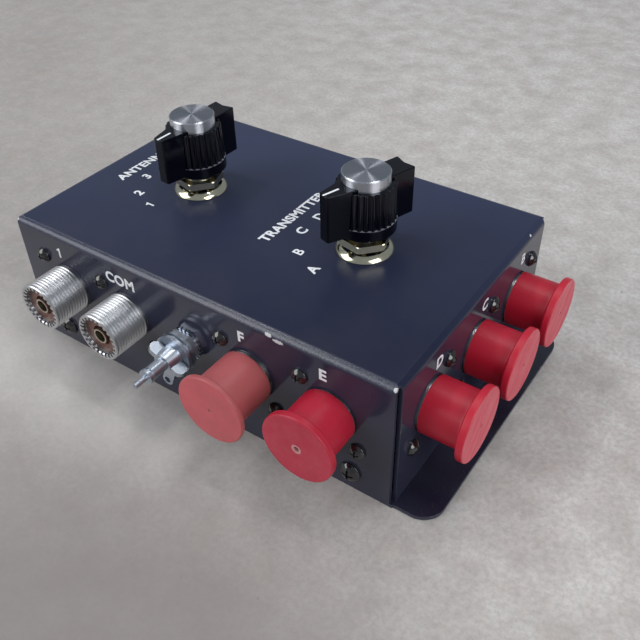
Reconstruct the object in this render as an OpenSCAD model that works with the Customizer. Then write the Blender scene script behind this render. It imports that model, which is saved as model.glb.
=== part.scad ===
// Coaxial antenna switch: a bent-sheet case with two dials, fourteen coax
// sockets and two ground posts. Millimetres. The origin is the bottom centre
// of the case, +Z is up, the front is -Y. The right half of the switch is the
// left half turned 180 degrees about Z.

/* [Case] */
// Length of the case between its left and right sides
case_l = 140; // [134:1:170]
// Width of the case from front to back
case_w = 91; // [86:1:110]
// Height of the case
case_h = 45.4; // [44.6:0.2:56]
// Thickness of the top cover's sheet
sheet_t = 1.2; // [0.9:0.1:1.6]
// Outside radius of the folds along the top edges
fold_r = 2.2; // [1.8:0.1:3]
// Width of the open seam at each upright corner
seam_gap = 0.8; // [0.4:0.1:1.2]
// How far each mounting flange stands out from the side
flange_reach = 12.35; // [9:0.05:18]
// Radius of the flanges' outer corners
flange_corner_r = 6.8; // [2:0.1:8]
// Radius of the hole in the middle of each flange
flange_hole_r = 2.2; // [1.6:0.1:2.8]
// Thickness of the bottom cover's sheet
tray_t = 1; // [0.8:0.1:1.6]
// Height of the bottom cover's front and back lips
tray_lip_h = 11.4; // [10:0.1:12]
// Distance of each case screw from the end of the case
case_screw_in = 13.5; // [10:0.5:20]
// Height of the case screws above the base
case_screw_z = 6.7; // [5.5:0.1:7.5]
// Radius of the case screws' heads
case_screw_head_r = 3.3; // [2.8:0.1:3.8]

/* [Sockets] */
// Height of the sockets' axes above the base
socket_z = 25.6; // [24.6:0.1:28]
// Outside diameter of the sockets' thread
thread_d = 15.875; // [15:0.005:16.4]
// Pitch of the sockets' thread
thread_pitch = 1.058; // [0.9:0.001:1.3]
// Length of the sockets' barrel outside the panel
barrel_l = 12.7; // [10:0.1:14]
// Diameter of the bore inside the barrel
barrel_bore_d = 12; // [11:0.1:13]
// Depth of the insulator's face below the rim
insulator_recess = 1.8; // [0.4:0.1:2.4]
// Number of notches around the rim
rim_notches = 24; // [12:1:30]
// Outside diameter of the centre contact
contact_d = 5; // [4.6:0.1:5.6]
// Bore of the centre contact
contact_bore_d = 4; // [3.6:0.05:4.1]
// Half the distance between a socket's screw holes
socket_screw_u = 9.13; // [8.9:0.01:9.6]
// Side of the sockets' square flange
socket_flange = 25.2; // [24.4:0.1:25.4]
// Thickness of the sockets' square flange
socket_flange_t = 1.6; // [1.2:0.1:2.2]
// Distance of the front's first socket from the case's left end
first_in = 19.8; // [19:0.1:20.2]
// Distance from the first socket to the common one
first_gap = 25.7; // [25.4:0.1:29]
// Distance of the front's last socket from the case's right end
last_in = 20.5; // [19:0.1:21]
// Distance from the last socket to the one before it
last_gap = 27.1; // [25.6:0.1:29]
// Distance between sockets on the left and right sides
side_pitch = 27.1; // [26:0.1:28]

/* [Dust caps] */
// Outside radius of a cap's barrel
cap_r = 8.5; // [8.3:0.05:8.9]
// Radius of a cap's rim
cap_rim_r = 11; // [9.5:0.1:12]
// Thickness of a cap's rim
cap_rim_t = 2.2; // [1.2:0.1:3]
// Thickness of the loose cap's rim
loose_rim_t = 1.6; // [1.2:0.1:3]
// Distance from the panel to a pushed-on cap
cap_base = 0.5; // [0.4:0.1:2]
// Thickness of a cap's closed end
cap_end_t = 2; // [1.4:0.1:3]
// How much farther out the loose cap sits
cap_loose = 0.5; // [0:0.1:3]
// Extra length of the loose cap
cap_loose_extra = 1.5; // [0:0.1:1.5]

/* [Ground posts] */
// Position of the post along the front
post_u = -0.5; // [-3:0.1:3]
// Height of the posts above the base
post_z = 26; // [22:0.1:29]
// Diameter of the post's stud
stud_d = 4.2; // [3.8:0.1:5]
// Length of the stud's thread outside the panel
stud_l = 15.4; // [14.6:0.1:18]
// Width across the flats of the post's hex nut
post_nut_af = 9.5; // [8:0.1:11]
// Thickness of the post's hex nut
post_nut_t = 2.6; // [2:0.1:4]
// Thickness of the toothed washer under the post's hex nut
post_tooth_t = 0.6; // [0.5:0.1:0.8]
// Radius of the post's washers
post_washer_r = 6.25; // [5.5:0.05:7]
// Thickness of the post's washers
post_washer_t = 1; // [0.6:0.1:1.4]
// Reach of the wing nut's wings from its axis
wing_reach = 6.6; // [5.4:0.1:9]
// Height of the wing nut
wing_h = 4.5; // [3:0.1:5]

/* [Dials] */
// Distance of each dial from its end of the case
dial_in = 38.25; // [34:0.25:41]
// Diameter of the dials' shafts
shaft_d = 6.35; // [5.6:0.05:6.6]
// Outside diameter of the bushing's thread
bushing_d = 9.5; // [9:0.1:10.4]
// Height of the bushing above the top
bushing_h = 5.2; // [4.4:0.1:6.6]
// Radius of the toothed lock washer
lock_washer_r = 8.6; // [7.6:0.1:9.4]
// Thickness of the toothed lock washer
lock_washer_t = 1; // [0.6:0.1:1.2]
// Width across the flats of the panel nut
panel_nut_af = 12.7; // [12:0.1:14.5]
// Thickness of the panel nut
panel_nut_t = 3; // [2:0.1:3.2]
// Height of the knob's underside above the top
knob_gap = 8; // [7.4:0.1:11]
// Height of the knob from its underside to the top of its bar
knob_h = 15.5; // [14:0.1:19]
// Radius of the knob's round body
knob_r = 8.4; // [8:0.1:10]
// Number of flutes around the knob's body
knob_flutes = 24; // [16:1:32]
// Reach of the knob's pointer from its axis
nose_reach = 15; // [12.5:0.1:17]
// Half width of the pointer's tip
nose_half = 1.9; // [1:0.1:2.6]
// Reach of the knob's tail from its axis
tail_reach = 14.8; // [12.5:0.1:16]
// Width of the knob's tail
tail_w = 7.8; // [6.6:0.1:9]
// Radius of the disc in the knob's top
disc_r = 7; // [6:0.1:7.4]
// Direction of the left knob's pointer, in degrees from +X
left_pointer = 267.5; // [252:0.5:268]
// Direction of the right knob's pointer, in degrees from +X
right_pointer = 251.5; // [240:0.5:268]

/* [Switch] */
// Angle between neighbouring dial positions
step_angle = 30; // [30:1:30]
// Direction of the first position's contact, in degrees from +X
first_angle = 252; // [250:1:254]
// Radius of the index plate and the stator disc
deck_r = 18.2; // [17.8:0.1:19]
// Thickness of the stator disc
stator_t = 1.6; // [1.2:0.1:2.4]
// Distance from the index plate to the stator disc
deck_gap = 11; // [9.5:0.1:12.5]
// Running gap between moving and fixed switch pieces
run_gap = 0.1; // [0.08:0.01:0.2]
// Diameter of the bus wire
wire_d = 1.6; // [1:0.1:2]

/* [Hidden] */
$fn = 48;
eps = 0.1;

front_u1 = first_in - case_l / 2;
front_u2 = front_u1 + first_gap;
front_u4 = case_l / 2 - last_in;
front_u3 = front_u4 - last_gap;
dial_x = case_l / 2 - dial_in;
case_screw_x = case_l / 2 - case_screw_in;

// Places of the sockets: the side they are on, then the distance along it as
// seen from outside. Sides: 0 front, 90 right, 180 back, 270 left.
half = [[0, front_u1], [0, front_u2], [0, front_u3], [0, front_u4],
        [90, -side_pitch], [90, 0], [90, side_pitch]];
SOCKETS = [for (turn = [0, 180]) for (p = half) [p[0] + turn, p[1]]];

thread_r = thread_d / 2;
thread_depth = thread_pitch * 0.6;
thread_flat = thread_pitch / 8;
thread_start = 0.5;
barrel_edge = 0.3;
thread_turns = floor((barrel_l - 2 * thread_start) / thread_pitch);
bore_r = barrel_bore_d / 2;
socket_tail_r = bore_r + 0.7;
socket_tail_l = 3.2;
rim_notch_depth = 1.2;
rim_notch_w = 0.8;
rim_notch_r = bore_r + 1.1;
insulator_l = barrel_l - insulator_recess;
insulator_tail = 3.6;
contact_r = contact_d / 2;
contact_lead = 1;
insulator_groove_r = contact_r + 0.8;
insulator_groove_d = 1;
contact_bore_l = 10.3;
cup_reach = 14;
cup_r = 1.9;
cup_bore_r = 1.2;
cup_bore_l = 4;

recess_reach = 0.55;
recess_depth = 0.6;
recess_half = 0.22;
screw_r = 1.45;
screw_head_r = 2.5;
screw_head_h = 2;
screw_clear = 0.1;
screw_nut_af = 6.3;
screw_nut_t = 2.4;
screw_end = 1;
case_screw_r = 1.9;
case_screw_head_h = 2.2;
case_screw_l = 8;
tray_side_gap = 1.8;
tray_bend_r = 1;

flap_short = 1;
in_y = case_w / 2 - sheet_t;
in_x = case_l / 2 - sheet_t;
top_in = case_h - sheet_t;
side_hole_r = thread_r + 0.15;

cap_fit = 0.06;
cap_clear = 0.1;
cap_bore_r = thread_r + cap_fit;
cap_l = barrel_l + cap_clear + cap_end_t - cap_base;
cap_edge_r = 0.4;
cap_cove_r = 1;
cap_hole_r = 0.9;
cap_gate_r = 0.6;
cap_gate_d = 0.3;

stud_r = stud_d / 2;
stud_fit = 0.05;
stud_head_r = 4;
stud_head_t = 2.5;
stud_neck_l = 0.8;
stud_neck_cut = 0.5;
stud_ring_out = 0.25;
stud_neck_r = stud_r - stud_neck_cut;
stud_ring_r = stud_r + stud_ring_out;
stud_ring_l = 1;
stud_pin_r = 0.9;
stud_pin_l = 4.3;
lug_t = 0.8;
post_nut_at = post_tooth_t;
post_nut_end = post_nut_at + post_nut_t;
post_tooth_out = 0.8;
post_tooth_r = post_nut_af / 2 + post_tooth_out;
post_teeth = 22;
post_tooth_l = 0.8;
post_tooth_gap = 0.7;
lug_at = post_nut_end + post_washer_t;
washer_at = lug_at + lug_t;
wing_at = washer_at + post_washer_t;
wing_hub_r = 3.5;
wing_hub_top_r = 3;
wing_t = 1.8;
wing_turn = -25;
wing_foot = 0.3;
lug_turn = -112;
lug_l = 15;
lug_half = 1.9;
lug_ring_r = post_washer_r - 1;
lug_hole_r = 1.1;

shaft_r = shaft_d / 2;
shaft_fit = 0.05;
shaft_end = 12.5;
shaft_short = 3.6;
shaft_top = case_h + knob_gap + knob_h - shaft_short;
bushing_r = bushing_d / 2;
nut_chamfer = 0.6;
nut_turn = 45;
washer_teeth = 12;
washer_ring = 1.3;
tooth_gap = 1.4;
plate_t = 1.5;
plate_at = top_in - plate_t;
deck_at = plate_at - deck_gap;
stator_at = deck_at - stator_t;
deck_edge = 2.2;
sweep_gap = 0.2;
deck_screw_head_r = 1.9;
ring_gap = 1.8;
spacer_ring_r = deck_r - deck_edge;
wiper_half = 1.5;
contact_ring_r = spacer_ring_r - deck_screw_head_r - wiper_half - sweep_gap;
pad_t = 0.6;
pad_at = stator_at - pad_t;
pad_r = 1.4;
terminal_l = 2;
terminal_r = deck_r + terminal_l;
terminal_half = 1.2;
hub_gap = 0.3;
hub_lip = 1;
ring_w = 2;
ring_out = contact_ring_r - pad_r - ring_gap;
ring_in = ring_out - ring_w;
hub_lip_r = ring_in;
hub_r = hub_lip_r - hub_lip;
hub_lip_t = 1.4;
hub_above = 3;
wiper_t = 0.5;
wiper_at = pad_at - run_gap - wiper_t;
wiper_over = 1.2;
wiper_reach = contact_ring_r + wiper_over;
spacer_r = 1.9;
deck_screw_r = 1.2;
deck_screw_head_h = 1.3;
spacer_angles = [first_angle + step_angle / 2, first_angle - 5.5 * step_angle];
contact_angles = [for (i = [0:5]) first_angle - i * step_angle];
common_angle = first_angle + step_angle;

wheel_r = 8;
wheel_t = 2;
wheel_drop = 1.6;
wheel_at = plate_at - wheel_drop - wheel_t;
wheel_notch_r = 1.2;
wheel_notch_out = 0.5;
wheel_notch_at = wheel_r + wheel_notch_out;
ball_r = 1.5;
ball_at = wheel_r + run_gap + ball_r;
spring_t = 0.5;
spring_half = 7;
spring_post_at = spring_half - 1;
spring_at = ball_at + ball_r;
spring_post_r = 1.2;
stop_lug_r = 10.8;
stop_lug_half = 1.5;
stop_post_r = 1.5;
stop_post_at = 10;
stop_turn = asin((stop_lug_half + stop_post_r + run_gap) / stop_post_at);
stop_angles = [first_angle + stop_turn, first_angle - 5 * step_angle - stop_turn];

knob_at = case_h + knob_gap;
collar_h = 3.5;
bar_lift = 0.8;
bar_rise = 0.9;
flute_top = knob_h - bar_rise;
flute_r = 0.65;
flute_out = 0.3;
flute_at = knob_r + flute_out;
nose_root = 5.5;
nose_root_half = 3.9;
tail_notch = 0.8;
bar_edge = 0.3;
nose_edge = 0.5;
disc_seat = 1;
disc_h = 3.5;
disc_bevel = 0.3;
insert_r = 5;
insert_lift = 0.5;
insert_h = 11;
set_screw_r = 1.6;
set_screw_l = 4.6;
set_screw_z = 6.2;
set_key_r = 0.8;
set_key_d = 2;

// Places its children on a side of the case: local Z points out of the
// panel's outer face, local X runs along it and local Y is up.
module on_side(side, along, up) {
    reach = (side % 180 == 0) ? case_w / 2 : case_l / 2;
    rotate([0, 0, side])
        translate([along, -reach, up])
            rotate([90, 0, 0])
                children();
}

module at_socket(i) {
    on_side(SOCKETS[i][0], SOCKETS[i][1], socket_z) children();
}

module at_sockets() {
    for (i = [0:len(SOCKETS) - 1]) at_socket(i) children();
}

module at_socket_screws() {
    for (i = [0:len(SOCKETS) - 1]) {
        lean = (SOCKETS[i][0] % 180 == 0) ? -1 : 1;
        for (s = [-1, 1])
            at_socket(i)
                translate([s * socket_screw_u, s * lean * socket_screw_u, 0])
                    children();
    }
}

module at_posts() {
    for (side = [0, 180]) on_side(side, post_u, post_z) children();
}

// Places its children at the left dial, or the right one turned to match.
module at_dial(turn) {
    rotate([0, 0, turn]) translate([-dial_x, 0, 0]) children();
}

module at_dials() {
    for (turn = [0, 180]) at_dial(turn) children();
}

module hex(af, h) {
    cylinder(r = af / sqrt(3), h = h, $fn = 6);
}

// A hexagon prism whose corners are turned off at both ends.
module chamfered_hex(af, h) {
    corner_r = af / sqrt(3);
    cut = (corner_r - af / 2) * nut_chamfer;
    intersection() {
        hex(af, h);
        rotate_extrude()
            polygon([[0, 0], [af / 2, 0], [corner_r, cut], [corner_r, h - cut],
                     [af / 2, h], [0, h]]);
    }
}

module rod(from, to, r) {
    d = to - from;
    l = norm(d);
    translate(from)
        rotate([0, acos(d[2] / l), atan2(d[1], d[0])])
            cylinder(r = r, h = l);
}

// A cross recess, cut down from z = 0.
module cross_recess(r, depth) {
    for (a = [0, 90])
        rotate([0, 0, a])
            translate([-r, -r * recess_half, -depth])
                cube([2 * r, 2 * r * recess_half, depth + eps]);
}

module pan_screw(head_r, head_h, shank_r, l) {
    difference() {
        union() {
            translate([0, 0, -l]) cylinder(r = shank_r, h = l + eps);
            pan_head(head_r, head_h);
        }
        translate([0, 0, head_h]) cross_recess(head_r * recess_reach, head_h * recess_depth);
    }
}

// A domed head of radius r and height h, upright to a quarter of its height.
module pan_head(r, h) {
    dome_h = h * 0.75;
    ball_r = (dome_h * dome_h + r * r) / (2 * dome_h);
    intersection() {
        cylinder(r = r, h = h);
        translate([0, 0, h - ball_r]) sphere(r = ball_r);
    }
}

// Rounded-shoulder outline of the case, bottom edge on the X axis.
module case_outline(w, h, r) {
    translate([-w / 2, 0]) square([w, h - r]);
    translate([-w / 2 + r, 0]) square([w - 2 * r, h]);
    for (s = [-1, 1]) translate([s * (w / 2 - r), h - r]) circle(r = r);
}

module case_block(l, w, h, r) {
    intersection() {
        translate([0, w / 2, 0])
            rotate([90, 0, 0])
                linear_extrude(w) case_outline(l, h, r);
        translate([-l / 2, 0, 0])
            rotate([90, 0, 90])
                linear_extrude(l) case_outline(w, h, r);
    }
}

module flange() {
    start = case_l / 2 - sheet_t;
    l = flange_reach + sheet_t;
    w = case_w - seam_gap;
    difference() {
        union() {
            translate([start, -w / 2, 0])
                cube([l - flange_corner_r, w, sheet_t]);
            translate([start, -w / 2 + flange_corner_r, 0])
                cube([l, w - 2 * flange_corner_r, sheet_t]);
            for (s = [-1, 1])
                translate([start + l - flange_corner_r, s * (w / 2 - flange_corner_r), 0])
                    cylinder(r = flange_corner_r, h = sheet_t);
        }
        translate([case_l / 2 + flange_reach / 2, 0, -eps])
            cylinder(r = flange_hole_r, h = sheet_t + 2 * eps);
    }
}

module top_cover() color([0.07, 0.08, 0.11]) {
    side_start = case_w / 2 - sheet_t - seam_gap;
    flap_end = case_l / 2 - flap_short;
    difference() {
        union() {
            difference() {
                case_block(case_l, case_w, case_h, fold_r);
                translate([0, 0, -eps])
                    case_block(case_l - 2 * sheet_t, case_w - 2 * sheet_t,
                               top_in + eps, fold_r - sheet_t);
            }
            for (a = [0, 180]) rotate([0, 0, a]) flange();
        }
        for (sx = [-1, 1], sy = [-1, 1])
            corner_cut(sx, sy, flap_end, side_start);
        at_sockets()
            translate([0, 0, -sheet_t - eps])
                cylinder(r = side_hole_r, h = sheet_t + 2 * eps);
        at_socket_screws()
            translate([0, 0, -sheet_t - eps])
                cylinder(r = screw_r + screw_clear, h = sheet_t + 2 * eps);
        at_posts()
            translate([0, 0, -sheet_t - eps])
                cylinder(r = stud_r + screw_clear, h = sheet_t + 2 * eps);
        at_case_screws()
            translate([0, 0, -sheet_t - eps])
                cylinder(r = case_screw_r + screw_clear, h = sheet_t + 2 * eps);
        at_dials()
            translate([0, 0, top_in - eps])
                cylinder(r = bushing_r + screw_clear, h = sheet_t + 2 * eps);
    }
}

// The open corner between two flaps, from the flange up.
module corner_cut(sx, sy, flap_end, side_start) {
    x0 = sx > 0 ? flap_end : -case_l / 2 - eps;
    y0 = sy > 0 ? side_start : -case_w / 2 - eps;
    translate([x0, y0, sheet_t])
        cube([case_l / 2 + eps - flap_end, case_w / 2 + eps - side_start, case_h]);
    xs = sx > 0 ? in_x - eps : -flap_end;
    ys = sy > 0 ? side_start : -in_y;
    translate([xs, ys, sheet_t])
        cube([flap_end - in_x + eps, seam_gap, top_in - sheet_t]);
}

module at_case_screws() {
    for (side = [0, 180], s = [-1, 1])
        on_side(side, s * case_screw_x, case_screw_z) children();
}

module tray_outline() {
    bend = tray_t + tray_bend_r;
    difference() {
        union() {
            translate([-in_y, 0]) square([2 * in_y, tray_t]);
            for (s = [-1, 1])
                translate([s > 0 ? in_y - tray_t : -in_y, 0]) square([tray_t, tray_lip_h]);
            for (s = [-1, 1])
                translate([s > 0 ? in_y - bend : -in_y, 0]) square([bend, bend]);
        }
        for (s = [-1, 1]) {
            translate([s * (in_y - bend), bend]) circle(r = tray_bend_r);
            difference() {
                translate([s > 0 ? in_y - bend : -in_y - eps, -eps])
                    square([bend + eps, bend + eps]);
                translate([s * (in_y - bend), bend]) circle(r = bend);
            }
        }
    }
}

module bottom_cover() color([0.09, 0.1, 0.12]) {
    l = 2 * (in_x - tray_side_gap);
    difference() {
        translate([-l / 2, 0, 0])
            rotate([90, 0, 90])
                linear_extrude(l) tray_outline();
        at_case_screws()
            translate([0, 0, -sheet_t - tray_t - eps])
                cylinder(r = case_screw_r, h = tray_t + 2 * eps);
    }
}

module case_screws() color([0.1, 0.1, 0.11]) {
    at_case_screws()
        pan_screw(case_screw_head_r, case_screw_head_h, case_screw_r, case_screw_l);
}

// Section of the threaded barrel: ridges of V form with flat crests.
module thread_profile() {
    root = thread_r - thread_depth;
    slope = (thread_pitch - thread_flat) / 2;
    ridge = [for (i = [0:thread_turns - 1])
        let (z = thread_start + i * thread_pitch)
        each [[thread_r, z], [root, z + slope], [thread_r, z + 2 * slope]]];
    polygon(concat([[bore_r, -sheet_t], [root, -sheet_t], [root, 0], [thread_r, 0]], ridge,
                   [[thread_r, barrel_l - barrel_edge], [thread_r - barrel_edge, barrel_l],
                    [bore_r + barrel_edge, barrel_l], [bore_r, barrel_l - barrel_edge]]));
}

module socket_shell() {
    back = sheet_t + socket_flange_t;
    difference() {
        union() {
            rotate_extrude() thread_profile();
            difference() {
                translate([-socket_flange / 2, -socket_flange / 2, -back])
                    cube([socket_flange, socket_flange, socket_flange_t]);
                for (sx = [-1, 1], sy = [-1, 1])
                    translate([sx * socket_screw_u, sy * socket_screw_u, -back - eps])
                        cylinder(r = screw_r + screw_clear, h = socket_flange_t + 2 * eps);
            }
            translate([0, 0, -back - socket_tail_l])
                cylinder(r = socket_tail_r, h = socket_tail_l + eps);
        }
        translate([0, 0, -back - socket_tail_l - eps])
            cylinder(r = bore_r, h = back + socket_tail_l + barrel_l - rim_notch_depth);
        translate([0, 0, barrel_l - rim_notch_depth])
            linear_extrude(rim_notch_depth + eps)
                for (i = [0:rim_notches - 1])
                    rotate(i * 360 / rim_notches)
                        translate([bore_r - 1, -rim_notch_w / 2])
                            square([rim_notch_r - bore_r + 1, rim_notch_w]);
    }
}

module socket(i) color([0.72, 0.71, 0.68]) at_socket(i) socket_shell();

module socket_insulators() color([0.36, 0.24, 0.14]) {
    back = sheet_t + socket_flange_t + insulator_tail;
    at_sockets()
        difference() {
            translate([0, 0, -back]) cylinder(r = bore_r, h = back + insulator_l);
            translate([0, 0, -back - eps])
                cylinder(r = contact_r, h = back + insulator_l + 2 * eps);
            translate([0, 0, insulator_l - insulator_groove_d])
                cylinder(r = insulator_groove_r, h = insulator_groove_d + eps);
        }
}

module socket_contacts() color([0.75, 0.7, 0.55]) {
    back = sheet_t + socket_flange_t + insulator_tail;
    top = barrel_l - contact_lead;
    at_sockets()
        difference() {
            union() {
                translate([0, 0, -back]) cylinder(r = contact_r, h = back + top);
                translate([0, 0, -cup_reach])
                    cylinder(r = cup_r, h = cup_reach - back + eps);
            }
            translate([0, 0, top - contact_bore_l])
                cylinder(r = contact_bore_d / 2, h = contact_bore_l + eps);
            translate([0, 0, -cup_reach - eps])
                cylinder(r = cup_bore_r, h = cup_bore_l + eps);
        }
}

module socket_screws() color([0.1, 0.1, 0.11]) {
    l = sheet_t + socket_flange_t + screw_nut_t + screw_end;
    at_socket_screws() pan_screw(screw_head_r, screw_head_h, screw_r, l);
}

module socket_nuts() color([0.65, 0.65, 0.62]) {
    at_socket_screws()
        translate([0, 0, -sheet_t - socket_flange_t - screw_nut_t])
            difference() {
                hex(screw_nut_af, screw_nut_t);
                translate([0, 0, -eps]) cylinder(r = screw_r, h = screw_nut_t + 2 * eps);
            }
}

// Half section of a dust cap of length l, open end at y = 0.
module cap_profile(l, rim_t) {
    rim_at = l - rim_t;
    square([cap_r, l - cap_edge_r]);
    translate([0, rim_at + cap_edge_r]) square([cap_rim_r, rim_t - 2 * cap_edge_r]);
    translate([0, rim_at]) square([cap_rim_r - cap_edge_r, rim_t]);
    for (y = [rim_at + cap_edge_r, l - cap_edge_r])
        translate([cap_rim_r - cap_edge_r, y]) circle(r = cap_edge_r);
    difference() {
        translate([cap_r - eps, rim_at - cap_cove_r]) square([cap_cove_r + eps, cap_cove_r + eps]);
        translate([cap_r + cap_cove_r, rim_at - cap_cove_r]) circle(r = cap_cove_r);
    }
}

module dust_cap(i, out, l, rim_t, hole_r, hole_l) {
    at_socket(i)
        translate([0, 0, out])
            difference() {
                rotate_extrude() cap_profile(l, rim_t);
                translate([0, 0, -eps]) cylinder(r = cap_bore_r, h = l - cap_end_t + eps);
                translate([0, 0, l - hole_l]) cylinder(r = hole_r, h = hole_l + eps);
            }
}

module cap_f() color([0.8, 0.2, 0.12])
    dust_cap(2, cap_base + cap_loose, cap_l + cap_loose_extra, loose_rim_t, cap_gate_r, cap_gate_d);

module cap_e() color([0.75, 0.1, 0.08])
    dust_cap(3, cap_base, cap_l, cap_rim_t, cap_hole_r, cap_end_t + eps);

module cap_d() color([0.75, 0.1, 0.08])
    dust_cap(4, cap_base, cap_l, cap_rim_t, cap_gate_r, cap_gate_d);

module cap_c() color([0.75, 0.1, 0.08])
    dust_cap(5, cap_base, cap_l, cap_rim_t, cap_gate_r, cap_gate_d);

module cap_b() color([0.75, 0.1, 0.08])
    dust_cap(6, cap_base, cap_l, cap_rim_t, cap_gate_r, cap_gate_d);

module ground_studs() color([0.7, 0.69, 0.66]) {
    neck = stud_l + stud_neck_l;
    ring = neck + stud_ring_l;
    at_posts() {
        translate([0, 0, -sheet_t - stud_head_t]) cylinder(r = stud_head_r, h = stud_head_t);
        translate([0, 0, -sheet_t - eps]) cylinder(r = stud_r, h = stud_l + sheet_t + eps);
        translate([0, 0, stud_l - eps]) cylinder(r = stud_neck_r, h = stud_neck_l + 2 * eps);
        translate([0, 0, neck]) cylinder(r = stud_ring_r, h = stud_ring_l);
        translate([0, 0, ring - eps]) cylinder(r = stud_pin_r, h = stud_pin_l + eps);
    }
}

// Lock washers with teeth around their outside.
module ground_lock_washers() color([0.7, 0.7, 0.68]) {
    at_posts()
        linear_extrude(post_tooth_t)
            difference() {
                circle(r = post_tooth_r);
                circle(r = stud_r);
                for (i = [0:post_teeth - 1])
                    rotate(i * 360 / post_teeth)
                        translate([post_tooth_r - post_tooth_l, -post_tooth_gap / 2])
                            square([post_tooth_l + eps, post_tooth_gap]);
            }
}

module ground_nuts() color([0.68, 0.67, 0.64]) {
    at_posts()
        translate([0, 0, post_nut_at])
            difference() {
                chamfered_hex(post_nut_af, post_nut_t);
                translate([0, 0, -eps]) cylinder(r = stud_r, h = post_nut_t + 2 * eps);
            }
}

module post_washer(z, gap) {
    translate([0, 0, z])
        difference() {
            cylinder(r = post_washer_r, h = post_washer_t);
            translate([0, 0, -eps]) cylinder(r = stud_r + gap, h = post_washer_t + 2 * eps);
        }
}

module ground_inner_washers() color([0.62, 0.62, 0.6]) {
    at_posts() post_washer(post_nut_end, 0);
}

module ground_lugs() color([0.75, 0.74, 0.7]) {
    at_posts()
        translate([0, 0, lug_at])
            difference() {
                union() {
                    cylinder(r = lug_ring_r, h = lug_t);
                    rotate([0, 0, lug_turn]) {
                        translate([0, -lug_half, 0]) cube([lug_l, 2 * lug_half, lug_t]);
                        translate([lug_l, 0, 0]) cylinder(r = lug_half, h = lug_t);
                    }
                }
                translate([0, 0, -eps]) cylinder(r = stud_r, h = lug_t + 2 * eps);
                rotate([0, 0, lug_turn])
                    translate([lug_l, 0, -eps])
                        cylinder(r = lug_hole_r, h = lug_t + 2 * eps);
            }
}

module outer_washer(side) color([0.62, 0.62, 0.6])
    on_side(side, post_u, post_z) post_washer(washer_at, 2 * stud_fit);

module ground_washer_front() outer_washer(0);

module ground_washer_back() outer_washer(180);

module wing_nut(side) color([0.66, 0.64, 0.6])
    on_side(side, post_u, post_z)
        translate([0, 0, wing_at])
            difference() {
                union() {
                    cylinder(r1 = wing_hub_r, r2 = wing_hub_top_r, h = wing_h);
                    rotate([90, 0, wing_turn])
                        translate([0, 0, -wing_t / 2])
                            linear_extrude(wing_t)
                                for (s = [-1, 1]) wing_outline(s);
                }
                translate([0, 0, -eps]) cylinder(r = stud_r + stud_fit, h = wing_h + 2 * eps);
            }

module wing_outline(s) {
    r = wing_h / 2 - wing_foot;
    x = wing_reach - r;
    translate([s > 0 ? 0 : -x, wing_foot]) square([x, 2 * r]);
    translate([s * x, wing_foot + r]) circle(r = r);
}

module wing_nut_front() wing_nut(0);

module wing_nut_back() wing_nut(180);

// The knob, its pointer along +X, its underside at z = 0.
module knob_body() {
    difference() {
        union() {
            cylinder(r = knob_r, h = collar_h + eps);
            translate([0, 0, collar_h])
                linear_extrude(flute_top - collar_h)
                    difference() {
                        circle(r = knob_r);
                        for (i = [0:knob_flutes - 1])
                            rotate((i + 0.5) * 360 / knob_flutes)
                                translate([flute_at, 0]) circle(r = flute_r, $fn = 16);
                    }
            translate([0, 0, bar_lift])
                linear_extrude(knob_h - bar_lift)
                    polygon([
                        [nose_reach - bar_edge, -nose_half], [nose_reach, -nose_half + nose_edge],
                        [nose_reach, nose_half - nose_edge], [nose_reach - bar_edge, nose_half],
                        [nose_root, nose_root_half], [-tail_reach + bar_edge, tail_w / 2],
                        [-tail_reach, tail_w / 2 - bar_edge], [-tail_reach + tail_notch, 0],
                        [-tail_reach, -tail_w / 2 + bar_edge], [-tail_reach + bar_edge, -tail_w / 2],
                        [nose_root, -nose_root_half]
                    ]);
        }
        translate([0, 0, knob_h - disc_seat]) cylinder(r = disc_r, h = disc_seat + eps);
        translate([0, 0, -eps]) cylinder(r = insert_r, h = insert_lift + insert_h + eps);
        translate([0, 0, -eps])
            cylinder(r = shaft_r, h = shaft_top - knob_at + eps);
        translate([0, 0, set_screw_z])
            rotate([0, -90, 0])
                cylinder(r = set_screw_r, h = tail_reach + eps);
    }
}

module at_knob(x, pointer) {
    translate([x, 0, knob_at]) rotate([0, 0, pointer]) children();
}

module knob(x, pointer) color([0.05, 0.05, 0.06])
    at_knob(x, pointer) knob_body();

module knob_disc(x, pointer) color([0.8, 0.8, 0.8])
    at_knob(x, pointer)
        translate([0, 0, knob_h - disc_seat]) {
            cylinder(r = disc_r, h = disc_h - disc_bevel);
            translate([0, 0, disc_h - disc_bevel])
                cylinder(r1 = disc_r, r2 = disc_r - disc_bevel, h = disc_bevel);
        }

module knob_insert(x, pointer) color([0.75, 0.6, 0.3])
    at_knob(x, pointer)
        difference() {
            translate([0, 0, insert_lift]) cylinder(r = insert_r, h = insert_h);
            translate([0, 0, insert_lift - eps]) cylinder(r = shaft_r, h = insert_h + 2 * eps);
            translate([0, 0, set_screw_z])
                rotate([0, -90, 0])
                    cylinder(r = set_screw_r, h = insert_r + eps);
        }

module set_screw(x, pointer) color([0.3, 0.3, 0.32])
    at_knob(x, pointer)
        translate([0, 0, set_screw_z])
            rotate([0, -90, 0])
                difference() {
                    translate([0, 0, shaft_r]) cylinder(r = set_screw_r, h = set_screw_l);
                    translate([0, 0, shaft_r + set_screw_l - set_key_d])
                        cylinder(r = set_key_r, h = set_key_d + eps, $fn = 6);
                }

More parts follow.
